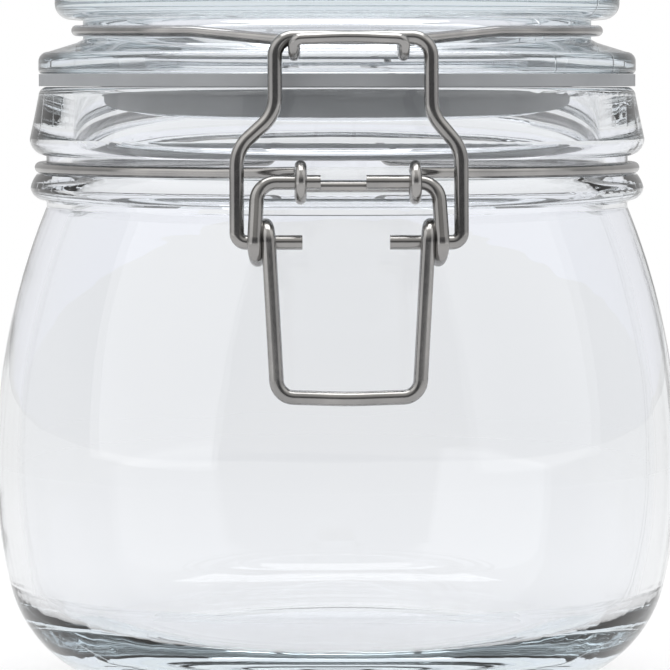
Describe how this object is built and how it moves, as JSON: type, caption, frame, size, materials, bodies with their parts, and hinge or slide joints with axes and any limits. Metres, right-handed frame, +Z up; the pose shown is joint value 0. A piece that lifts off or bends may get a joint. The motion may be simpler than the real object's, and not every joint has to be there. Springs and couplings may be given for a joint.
{
  "type": "glass storage jar",
  "caption": "Empty round-bellied clear glass jar with a hinged glass lid, a rubber sealing ring and a steel wire lever latch at the front",
  "frame": {"origin": "where the jar's own axis meets the flat plane that it stands on", "axes": "+Z up along the jar's axis, -Y towards the latch at the front, +Y towards the hinge at the back, +X to the right as seen from the front"},
  "size_m": [0.1, 0.1018, 0.104],
  "materials": {
    "jar_glass": "clear, smooth, with a faint cool tint in thick places",
    "lid_glass": "clear pressed glass, with a faint cool tint in thick places",
    "gasket_rubber": "matte, slightly translucent pale grey silicone rubber",
    "wire": "bright drawn steel wire",
    "latch_wire": "bright drawn steel wire"
  },
  "bodies": {
    "jar": {"jar_glass": "jar_glass", "neck_wire": "wire"},
    "lid": {"lid_glass": "lid_glass", "gasket": "gasket_rubber", "lid_wire": "wire"},
    "lever": {"lever": "latch_wire"},
    "bail": {"bail": "latch_wire"}
  },
  "joints": [
    {"name": "lid_hinge", "type": "hinge", "parent": "jar", "child": "lid", "pos_m": [0, 0.0468, 0.0835], "axis": [-1, 0, 0], "range_deg": [0, 105]},
    {"name": "lever_pivot", "type": "hinge", "parent": "jar", "child": "lever", "pos_m": [0, -0.04775, 0.0743], "axis": [-1, 0, 0], "range_deg": [0, 100]},
    {"name": "bail_pivot", "type": "hinge", "parent": "lever", "child": "bail", "pos_m": [0, -0.0476, 0.0662], "axis": [-1, 0, 0], "range_deg": [-80, 0]}
  ],
  "couplings": [
    {"joint": "bail_pivot", "follows": "lever_pivot", "ratio": -0.8}
  ]
}
